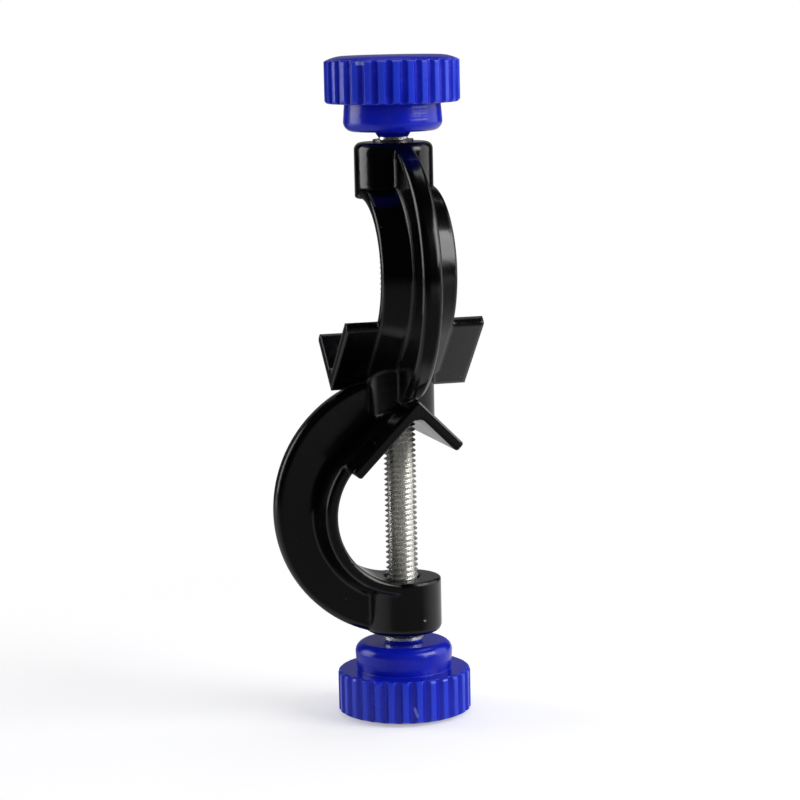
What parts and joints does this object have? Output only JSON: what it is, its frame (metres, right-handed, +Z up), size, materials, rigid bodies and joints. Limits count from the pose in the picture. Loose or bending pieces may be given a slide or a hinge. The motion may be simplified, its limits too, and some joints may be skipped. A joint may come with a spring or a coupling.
{
  "type": "boss head clamp",
  "caption": "Boss head clamp: a black casting with C-shaped jaws at right angles, each closed on a V-shaped seat by a steel thumbscrew with a fluted blue knob.",
  "frame": {"origin": "on the common axis of the two thumbscrews, at the flat end face of the lower knob, which the clamp stands on", "axes": "+Z up along both thumbscrews, +X the way the lower jaw opens, +Y the way the upper jaw opens"},
  "size_m": [0.0303, 0.0303, 0.1],
  "materials": {
    "casting": "gloss black paint on a die casting",
    "screw": "bright rolled thread",
    "knob": "moulded, satin gloss, royal blue",
    "washer": "bright plated"
  },
  "bodies": {
    "frame": {"casting": "casting"},
    "lower_ring": {"lower_washer": "washer"},
    "lower_clamp": {"lower_screw": "screw", "lower_knob": "knob"},
    "upper_ring": {"upper_washer": "washer"},
    "upper_clamp": {"upper_screw": "screw", "upper_knob": "knob"}
  },
  "joints": [
    {"name": "lower_travel", "type": "slide", "parent": "frame", "child": "lower_ring", "axis": [0, 0, -1], "range_m": [0, 0.024]},
    {"name": "lower_turn", "type": "hinge", "parent": "lower_ring", "child": "lower_clamp", "pos_m": [0, 0, 0.0118], "axis": [0, 0, -1], "range_deg": [0, 10800]},
    {"name": "upper_turn", "type": "hinge", "parent": "frame", "child": "upper_ring", "pos_m": [0, 0, 0.0874], "axis": [0, 0, 1], "range_deg": [0, 10800]},
    {"name": "upper_travel", "type": "slide", "parent": "upper_ring", "child": "upper_clamp", "axis": [0, 0, 1], "range_m": [0, 0.024]}
  ],
  "couplings": [
    {"joint": "lower_turn", "follows": "lower_travel", "rad_per_m": 7854},
    {"joint": "upper_turn", "follows": "upper_travel", "rad_per_m": 7854}
  ]
}
